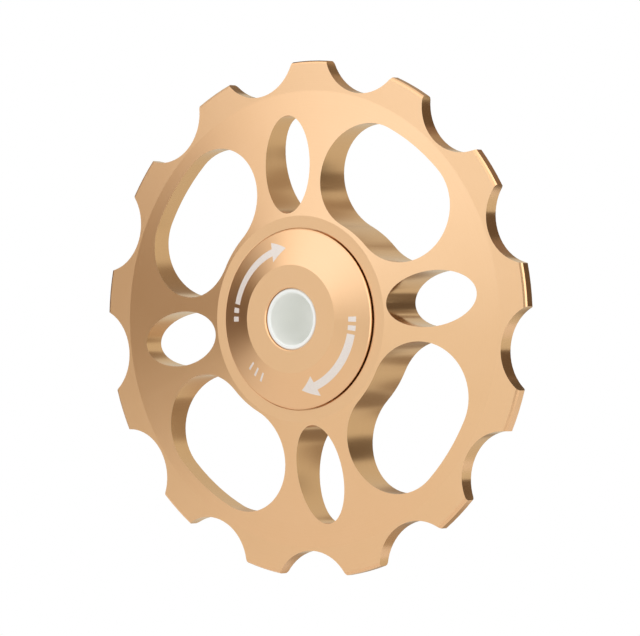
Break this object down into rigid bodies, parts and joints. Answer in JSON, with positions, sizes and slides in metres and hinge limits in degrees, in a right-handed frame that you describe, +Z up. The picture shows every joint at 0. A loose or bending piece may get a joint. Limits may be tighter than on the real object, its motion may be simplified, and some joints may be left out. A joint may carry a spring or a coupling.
{
  "type": "derailleur jockey wheel",
  "caption": "Toothed aluminium jockey wheel with slots and ovals in a tapered web, coned dust caps and a sealed ball bearing, guides the chain in a rear derailleur.",
  "frame": {"origin": "middle of the axle bore, half way through the wheel", "axes": "+Y along the axle to the rear side, +Z up, the side with the pictured cap faces -Y"},
  "size_m": [0.0502, 0.008, 0.0499],
  "materials": {
    "gold_anodised": "satin gold anodising over fine turning marks",
    "silver_sleeve": "turned, clear anodised",
    "bearing_steel": "ground bearing steel",
    "cage_nylon": "moulded natural nylon",
    "seal_rubber": "moulded nitrile rubber"
  },
  "bodies": {
    "axle_set": {"axle_sleeve": "silver_sleeve", "front_cap": "gold_anodised", "rear_cap": "gold_anodised", "bearing_inner_race": "bearing_steel"},
    "wheel_set": {"wheel": "gold_anodised", "bearing_outer_race": "bearing_steel", "front_seal": "seal_rubber", "rear_seal": "seal_rubber"},
    "cage_ring": {"ball_cage": "cage_nylon"},
    "rolling_ball_1": {"ball_1": "bearing_steel"},
    "rolling_ball_2": {"ball_2": "bearing_steel"},
    "rolling_ball_3": {"ball_3": "bearing_steel"},
    "rolling_ball_4": {"ball_4": "bearing_steel"},
    "rolling_ball_5": {"ball_5": "bearing_steel"},
    "rolling_ball_6": {"ball_6": "bearing_steel"},
    "rolling_ball_7": {"ball_7": "bearing_steel"},
    "rolling_ball_8": {"ball_8": "bearing_steel"}
  },
  "joints": [
    {"name": "wheel_spin", "type": "hinge", "parent": "axle_set", "child": "wheel_set", "pos_m": [0, 0, 0], "axis": [0, 1, 0], "continuous": true},
    {"name": "cage_spin", "type": "hinge", "parent": "axle_set", "child": "cage_ring", "pos_m": [0, 0, 0], "axis": [0, 1, 0], "continuous": true},
    {"name": "ball_1_spin", "type": "hinge", "parent": "cage_ring", "child": "rolling_ball_1", "pos_m": [0.00475, 0, 0], "axis": [0, 1, 0], "continuous": true},
    {"name": "ball_2_spin", "type": "hinge", "parent": "cage_ring", "child": "rolling_ball_2", "pos_m": [0.00336, 0, 0.00336], "axis": [0, 1, 0], "continuous": true},
    {"name": "ball_3_spin", "type": "hinge", "parent": "cage_ring", "child": "rolling_ball_3", "pos_m": [0, 0, 0.00475], "axis": [0, 1, 0], "continuous": true},
    {"name": "ball_4_spin", "type": "hinge", "parent": "cage_ring", "child": "rolling_ball_4", "pos_m": [-0.00336, 0, 0.00336], "axis": [0, 1, 0], "continuous": true},
    {"name": "ball_5_spin", "type": "hinge", "parent": "cage_ring", "child": "rolling_ball_5", "pos_m": [-0.00475, 0, 0], "axis": [0, 1, 0], "continuous": true},
    {"name": "ball_6_spin", "type": "hinge", "parent": "cage_ring", "child": "rolling_ball_6", "pos_m": [-0.00336, 0, -0.00336], "axis": [0, 1, 0], "continuous": true},
    {"name": "ball_7_spin", "type": "hinge", "parent": "cage_ring", "child": "rolling_ball_7", "pos_m": [0, 0, -0.00475], "axis": [0, 1, 0], "continuous": true},
    {"name": "ball_8_spin", "type": "hinge", "parent": "cage_ring", "child": "rolling_ball_8", "pos_m": [0.00336, 0, -0.00336], "axis": [0, 1, 0], "continuous": true}
  ],
  "couplings": [
    {"joint": "cage_spin", "follows": "wheel_spin", "ratio": 0.60526},
    {"joint": "ball_1_spin", "follows": "wheel_spin", "ratio": 2.2697},
    {"joint": "ball_2_spin", "follows": "wheel_spin", "ratio": 2.2697},
    {"joint": "ball_3_spin", "follows": "wheel_spin", "ratio": 2.2697},
    {"joint": "ball_4_spin", "follows": "wheel_spin", "ratio": 2.2697},
    {"joint": "ball_5_spin", "follows": "wheel_spin", "ratio": 2.2697},
    {"joint": "ball_6_spin", "follows": "wheel_spin", "ratio": 2.2697},
    {"joint": "ball_7_spin", "follows": "wheel_spin", "ratio": 2.2697},
    {"joint": "ball_8_spin", "follows": "wheel_spin", "ratio": 2.2697}
  ]
}
